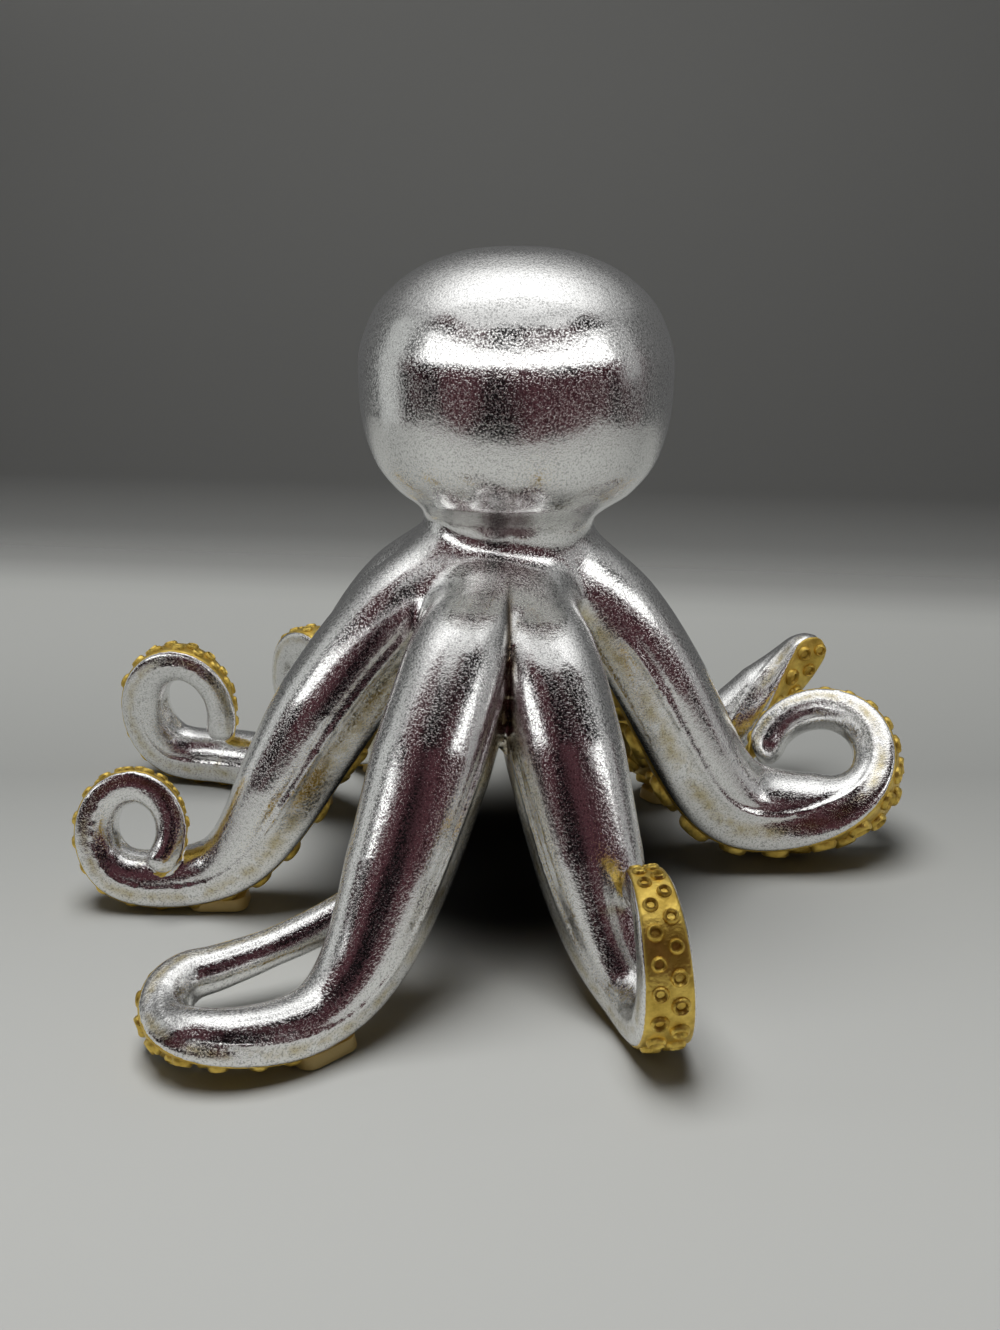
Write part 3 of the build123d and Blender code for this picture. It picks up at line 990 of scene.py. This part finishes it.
class OCTO_OT_gilded_soles(bpy.types.Operator):
    """Lays a gilded strip with two rows of ring suckers under each arm"""

    bl_idname = "octo.gilded_soles"
    bl_label = "Gilded soles"

    def execute(self, context):
        form, look = context.scene.octo_form, context.scene.octo_look
        material = gilding(look)
        sucker = ring_sucker()
        rng = np.random.default_rng(8)
        for name in ARMS:
            strip = sole_strip(name)
            write_wear_and_shade(strip.data, 0, 0)
            parts = [strip]
            for place, row in sucker_places(name, form):
                side = place.up.cross(place.way)
                out = side * (row * form.sucker_row * place.width)
                foot = (place.point + out + AXIS) * MM
                size = form.sucker_width * place.width * rng.uniform(0.92, 1.08) * MM
                tilt = rng.uniform(-0.08, 0.08, 2)
                lean = (place.up * -1 + place.way * tilt[0] + side * tilt[1]).normalized()
                along = (place.way - lean * place.way.dot(lean)).normalized()
                turn = Matrix((along, lean.cross(along), lean)).transposed().to_4x4()
                copy = sucker.copy()
                copy.data = sucker.data.copy()
                context.collection.objects.link(copy)
                copy.data.transform(Matrix.Translation(foot) @ turn @ Matrix.Scale(size, 4))
                parts.append(copy)
            piece = joined("gilded_sole_" + name, parts)
            bpy.ops.object.shade_smooth_by_angle(angle=radians(50))
            kept_in_box(piece)
            dress(piece, material)
            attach(piece, "root")
            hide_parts("band_" + name)
        bpy.data.objects.remove(sucker)
        return {"FINISHED"}


# Foot pads

def round_edges(bm, edges, width, segments):
    bmesh.ops.bevel(bm, geom=edges, offset=width * MM, segments=segments, affect="EDGES", profile=0.5)


class OCTO_OT_foot_pads(bpy.types.Operator):
    """Models the gilded pads that the arms stand on"""

    bl_idname = "octo.foot_pads"
    bl_label = "Foot pads"

    def execute(self, context):
        form, look = context.scene.octo_form, context.scene.octo_look
        material = bpy.data.materials.get("gilding") or gilding(look)
        for name, arm in ARMS.items():
            if not arm.get("padded", True):
                continue
            spot = RUNS[name].at(RUNS[name].landing)
            middle, way = spot.point + AXIS, spot.way
            deselect()
            bpy.ops.mesh.primitive_cube_add(size=1)
            pad = context.object
            pad.name = "gilded_pad_" + name
            pad.data.transform(Matrix.Translation((0, 0, 0.5)))
            bm = bmesh.new()
            bm.from_mesh(pad.data)
            for vert in bm.verts:
                taper = 1 - PAD_TAPER * vert.co.z
                size = Vector((form.pad_length * taper, form.pad_width * taper, form.pad_height))
                vert.co = vert.co * size
            upright = [e for e in bm.edges if abs((e.verts[0].co - e.verts[1].co).z) > 1e-4]
            round_edges(bm, upright, PAD_CORNER, 6)
            level = [e for e in bm.edges if any(len(f.verts) > 4 for f in e.link_faces)]
            round_edges(bm, level, PAD_EDGE, 2)
            bm.to_mesh(pad.data)
            bm.free()
            spin = Matrix.Rotation(atan2(way.y, way.x), 4, "Z")
            pad.data.transform(Matrix.Translation(Vector((middle.x, middle.y, 0)) * MM) @ spin)
            hold(pad)
            bpy.ops.object.shade_smooth_by_angle(angle=radians(35))
            # Painted shade on the pad under its arm
            write_wear_and_shade(pad.data, 0, PAD_SHADE)
            dress(pad, material)
            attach(pad, "root")
            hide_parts("pad_" + name)
        return {"FINISHED"}


class OCTO_OT_root_keys(bpy.types.Operator):
    """Finishes the square rods inside the neck"""

    bl_idname = "octo.root_keys"
    bl_label = "Root keys"

    def execute(self, context):
        dress(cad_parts["root_keys"], drawn_steel())
        return {"FINISHED"}


# Stage

# The camera's place from the neck's axis in millimetres, and its angles in degrees
CAMERA_PLACE = (-2.5, -420.0, 210.0)
CAMERA_ANGLES = (71.5, 0.0, 0.0)
SENSOR_WIDTH = 36.0
# Each light's name, place, target, size, power and colour
LIGHTS = (
    ("ceiling_panel", (-0.15, -0.05, 1.35), (0, 0, 0.1), (0.9, 0.7), 22.5, (1.0, 0.995, 0.98)),
    ("left_window", (-1.1, 0.1, 0.75), (0, 0, 0.08), (0.35, 0.9), 0.9, (0.96, 0.98, 1.0)),
    ("right_bounce", (1.0, 0.2, 0.7), (0, 0, 0.08), (0.3, 0.8), 0.3, (1.0, 0.98, 0.95)),
)
# The fields of the room that the leaf mirrors, each laid over the last: its colour, then for each
# axis from where to where it comes in, or where it starts and ends and how soft those edges are
ROOM_FIELDS = (
    ("dark", ("Y", 0.45, -0.05), ("Z", -0.55, 0.30, 0.06)),
    ("lamp", ("Y", -0.14, -0.30), ("Z", 0.29, 0.55, 0.04)),
    ("dark", ("Y", 0.0, -0.14), ("Z", 0.57, 0.955, 0.03)),
    ("left_window", ("X", -1.2, -0.80, 0.05), ("Y", 0.04, 0.42, 0.06), ("Z", -0.45, 0.80, 0.06)),
    ("right_window", ("X", 0.84, 1.2, 0.05), ("Y", -0.16, 0.16, 0.06), ("Z", -0.10, 0.80, 0.06)),
)
# Brightness of the rest of the room, from straight down to straight up
ROOM_TONES = ((0.0, 0.16), (0.40, 0.10), (0.72, 0.14), (0.85, 0.45), (0.95, 1.3), (1.0, 1.6))
# How the paper floor fades out as it bends up, how deep that bend is and how it leans to the side
FLOOR_FADE = ((0.0, 0.0), (0.07, 0.08), (0.22, 0.45), (0.48, 0.76), (0.85, 0.93), (1.0, 1.0))
FLOOR_BEND = 0.34
FLOOR_LEAN = 0.14
FLOOR_NEAR, FLOOR_FAR = -0.20, 0.35


def placed(tree, kind):
    """A point's coordinates and their parts."""
    coords = add_node(tree, "ShaderNodeTexCoord").outputs[kind]
    return coords, add_node(tree, "ShaderNodeSeparateXYZ", Vector=coords).outputs


def floor_paper(look):
    """Studio paper with painted light and shade: lighter towards the viewer, darker under the figurine and
    with painted shade under the body, fading out behind in a bend.
    """
    material, tree = new_material("floor_paper")
    coords, parts = placed(tree, "Object")
    run = mapped(tree, parts["Y"], FLOOR_NEAR, FLOOR_FAR)
    # Painted light and shade: the paper is lighter in front, darkest under the figurine and middling behind
    tone = ramp(tree, run, (0.0, look.floor_near), (0.5, look.floor_middle), (1.0, look.floor_far))
    away = add_node(tree, "ShaderNodeVectorMath", operation="DISTANCE")
    tree.links.new(coords, away.inputs[0])
    away.inputs[1].default_value = AXIS * MM
    # Painted shade under the body, deepest near the neck's axis
    clear_of_body = mapped(tree, away.outputs["Value"], look.shade_inner, look.shade_outer)
    shade = ramp(tree, clear_of_body, (0.0, look.shade_depth), (1.0, 1.0))
    leaning = reckoned(tree, "MULTIPLY_ADD", parts["X"], FLOOR_LEAN, parts["Y"])
    rise = mapped(tree, leaning, look.floor_end, look.floor_end + FLOOR_BEND, curve="LINEAR")
    mix = add_node(tree, "ShaderNodeMixShader", Fac=ramp(tree, rise, *FLOOR_FADE))
    paper = principled(tree, mixed(tree, 1.0, tone, shade, blend="MULTIPLY"), 0.75)
    tree.links.new(paper, mix.inputs[1])
    tree.links.new(add_node(tree, "ShaderNodeBsdfTransparent").outputs["BSDF"], mix.inputs[2])
    closed(tree, mix.outputs["Shader"])
    return material


def wall_paper(look):
    """The paper behind, with painted light in one upper corner."""
    material, tree = new_material("wall_paper")
    _, parts = placed(tree, "Object")
    leftward, upward = mapped(tree, parts["X"], 0.1, -0.9), mapped(tree, parts["Z"], 0.30, 0.95)
    # Painted light: the upper left corner is lighter, where the light falls
    corner = reckoned(tree, "MULTIPLY", leftward, upward)
    closed(tree, principled(tree, mixed(tree, corner, look.wall, look.wall_corner), 0.85))
    return material


def glowing(name, recipe, *stops):
    """A clouded glow, for panels that only the leaf mirrors."""
    material, tree = new_material(name)
    clouds, = noises(tree, recipe)
    glow = add_node(tree, "ShaderNodeEmission", Strength=1.0, Color=ramp(tree, clouds, *stops))
    closed(tree, glow.outputs["Emission"])
    return material


def studio_air(look):
    """The room that the leaf mirrors: dark warm surroundings, a lit ceiling, a lamp and windows."""
    world = bpy.data.worlds.new("studio")
    bpy.context.scene.world = world
    world.use_nodes = True
    tree = world.node_tree
    tree.nodes.clear()
    coords, parts = placed(tree, "Generated")
    blots = add_node(tree, "ShaderNodeTexNoise", Vector=coords, Scale=3.2, Detail=1.0)
    dark = ramp(tree, blots.outputs["Fac"], (0.44, look.room_dark), (0.60, look.room_warm))
    air = ramp(tree, mapped(tree, parts["Z"], -1.0, 1.0, curve="LINEAR"), *ROOM_TONES)
    for name, *sides in ROOM_FIELDS:
        mask = 1.0
        for axis, *run in sides:
            side = (window if len(run) == 3 else mapped)(tree, parts[axis], *run)
            mask = reckoned(tree, "MULTIPLY", mask, side)
        air = mixed(tree, mask, air, dark if name == "dark" else getattr(look, name))
    path = add_node(tree, "ShaderNodeLightPath").outputs
    air = mixed(tree, path["Is Glossy Ray"], look.backdrop, air)
    air = mixed(tree, path["Is Diffuse Ray"], air, look.fill)
    light = add_node(tree, "ShaderNodeBackground", Strength=1.0, Color=air)
    add_node(tree, "ShaderNodeOutputWorld", Surface=light.outputs["Background"])


def area_light(name, place, target, size, power, colour):
    data = bpy.data.lights.new(name, "AREA")
    data.shape = "RECTANGLE"
    data.size, data.size_y = size
    data.energy = power
    data.color = colour
    light = bpy.data.objects.new(name, data)
    bpy.context.collection.objects.link(light)
    light.location = place
    light.rotation_euler = (Vector(target) - Vector(place)).to_track_quat("-Z", "Y").to_euler()
    light.visible_glossy = False


def card(name, middle, size, material):
    """A flat card of the stage, upright where its size has a height, with its place in its mesh."""
    deselect()
    bpy.ops.mesh.primitive_grid_add(x_subdivisions=4, y_subdivisions=4, size=1)
    obj = bpy.context.object
    obj.name = name
    for vert in obj.data.vertices:
        vert.co = Vector(middle) + Vector((vert.co.x, vert.co.y, vert.co.y)) * Vector(size)
    dress(obj, material)
    return obj


class OCTO_OT_stage(bpy.types.Operator):
    """Sets the paper, the lights and the camera"""

    bl_idname = "octo.stage"
    bl_label = "Stage"

    def execute(self, context):
        look = context.scene.octo_look
        paper = floor_paper(look)
        floor = card("paper_floor", (0, -0.65, -0.0003), (6.0, 2.7, 0), paper)
        sheet = card("paper_sheet", (0, 0.135, -0.0002), (1.1, 0.93, 0), paper)
        wall = card("paper_wall", (0, 1.6, 0.6), (8.0, 0, 5.0), wall_paper(look))
        blots = glowing("dark_screen", SCREEN_BLOTS, (0.44, look.room_dark), (0.58, look.room_warm))
        screen = card("dark_screen", AXIS * MM + Vector((0, -0.226, 0.136)), (1.0, 0, 0.164), blots)
        clouds = glowing("lit_veil", VEIL_CLOUDS, (0.35, 0.60), (0.65, 1.0))
        veil = card("lit_veil", AXIS * MM + Vector((0, -0.072, 0.262)), (0.150, 0.076, 0), clouds)
        floor.visible_glossy = wall.visible_glossy = False
        for obj in (sheet, screen, veil):
            obj.visible_camera = obj.visible_diffuse = obj.visible_shadow = False
        studio_air(look)
        for light in LIGHTS:
            area_light(*light)
        data = bpy.data.cameras.new("camera")
        data.sensor_fit = "HORIZONTAL"
        data.sensor_width = SENSOR_WIDTH
        data.lens = look.lens
        camera = bpy.data.objects.new("camera", data)
        context.collection.objects.link(camera)
        camera.location = (AXIS + Vector(CAMERA_PLACE)) * MM
        camera.rotation_euler = [radians(angle) for angle in CAMERA_ANGLES]
        context.scene.camera = camera
        context.scene.view_settings.view_transform = "Standard"
        return {"FINISHED"}


# Settings and panel

def length(name, description, default, **limits):
    return FloatProperty(name=name, description=description, default=default, unit="LENGTH", **limits)


def share(name, description, default):
    return FloatProperty(
        name=name, description=description, default=default, min=0, max=1, subtype="FACTOR")


def colour(name, description, red, green, blue, **limits):
    return FloatVectorProperty(
        name=name, description=description, subtype="COLOR", default=(red, green, blue), **limits)


class OctoForm(bpy.types.PropertyGroup):
    """Sizes of the modelled skin, suckers and feet"""

    skin_grain: length("Skin fineness", "Cell size of the casting's skin", 0.00075, min=0.0004)
    seam_height: length("Mould line", "How far the mould line stands up", 0.0008)
    neck_rounds: IntProperty(
        name="Neck blend", description="How far the arms' roots flow together", default=320, min=0)
    sucker_width: share("Sucker width", "Width as a share of the arm's width", 0.33)
    sucker_row: share("Sucker row", "Distance from the sole's middle as a share of the arm's width", 0.175)
    sucker_pitch: share("Sucker pitch", "Step along the sole as a share of the arm's width", 0.28)
    pad_length: length("Pad length", "Length of a foot pad", 0.018)
    pad_width: length("Pad width", "Width of a foot pad", 0.0125)
    pad_height: length("Pad height", "Height of a foot pad, its top sunk in the sole", 0.0040)


class OctoLook(bpy.types.PropertyGroup):
    """Colours, shade and lens"""

    silver: colour("Silver leaf", "Bare leaf", 0.93, 0.93, 0.915)
    ground: colour("Ground", "Warm ground under rubbed leaf", 0.52, 0.42, 0.17)
    # Painted shade: the colour that the hollows, the groove's line, the sucker dishes and feet and the pads
    # are darkened towards
    hollow_shade: colour("Crevices", "Dirt in the hollows", 0.13, 0.075, 0.02)
    gold: colour("Gold", "Bright gilding", 0.95, 0.70, 0.17)
    old_gold: colour("Old gold", "Dull gilding", 0.60, 0.41, 0.08)
    # Painted light and shade on the floor paper, by where it lies
    floor_near: colour("Floor near", "Paper in front", 0.42, 0.425, 0.415)
    floor_middle: colour("Floor middle", "Paper under the figurine", 0.27, 0.275, 0.268)
    floor_far: colour("Floor far", "Paper behind", 0.36, 0.365, 0.355)
    floor_end: length("Floor end", "Where the paper starts to bend up", 0.30)
    # Painted shade under the body
    shade_inner: length("Shade inside", "Radius of the deepest shade under the body", 0.035)
    shade_outer: length("Shade outside", "Radius where the shade under the body ends", 0.085)
    shade_depth: share("Shade depth", "Share of light left under the body", 0.03)
    wall: colour("Wall", "Paper wall", 0.265, 0.266, 0.259)
    # Painted light on the wall's upper corner
    wall_corner: colour("Wall corner", "Paper wall where the light falls on it", 0.48, 0.48, 0.47)
    room_dark: colour("Room dark", "Dark of the room in the leaf", 0.008, 0.006, 0.007)
    room_warm: colour("Room warm", "Warm dark of the room in the leaf", 0.075, 0.030, 0.036)
    lamp: colour("Lamp", "Broad lamp before the figurine", 2.1, 2.1, 2.1, max=4.0)
    left_window: colour("Left window", "Window on the left", 0.55, 0.56, 0.55)
    right_window: colour("Right window", "Window on the right", 0.38, 0.38, 0.38)
    fill: colour("Fill", "Air that only fills shadows", 0.04, 0.04, 0.04)
    backdrop: colour("Backdrop", "Plain air behind all else", 0.10, 0.10, 0.098)
    lens: FloatProperty(
        name="Lens", description="Focal length on a 36 mm wide frame", default=50.4, unit="CAMERA")


class OCTO_PT_panel(bpy.types.Panel):
    """Lists the figurine's settings and steps"""

    bl_idname = "OCTO_PT_panel"
    bl_label = "Octopus figurine"
    bl_space_type = "VIEW_3D"
    bl_region_type = "UI"
    bl_category = "Octopus"

    def draw(self, context):
        for group in (context.scene.octo_form, context.scene.octo_look):
            for name in group.__annotations__:
                self.layout.prop(group, name)
        for step in STEPS:
            self.layout.operator(step.bl_idname)


STEPS = (OCTO_OT_stage, OCTO_OT_silver_body, OCTO_OT_gilded_soles, OCTO_OT_foot_pads, OCTO_OT_root_keys)
CLASSES = (OctoForm, OctoLook, *STEPS, OCTO_PT_panel)


def register():
    for cls in CLASSES:
        bpy.utils.register_class(cls)
    bpy.types.Scene.octo_form = PointerProperty(type=OctoForm)
    bpy.types.Scene.octo_look = PointerProperty(type=OctoLook)


def unregister():
    del bpy.types.Scene.octo_look
    del bpy.types.Scene.octo_form
    for cls in reversed(CLASSES):
        bpy.utils.unregister_class(cls)


def main():
    register()
    bpy.ops.octo.stage()
    bpy.ops.octo.silver_body()
    bpy.ops.octo.gilded_soles()
    bpy.ops.octo.foot_pads()
    bpy.ops.octo.root_keys()


if __name__ == "__main__":
    main()
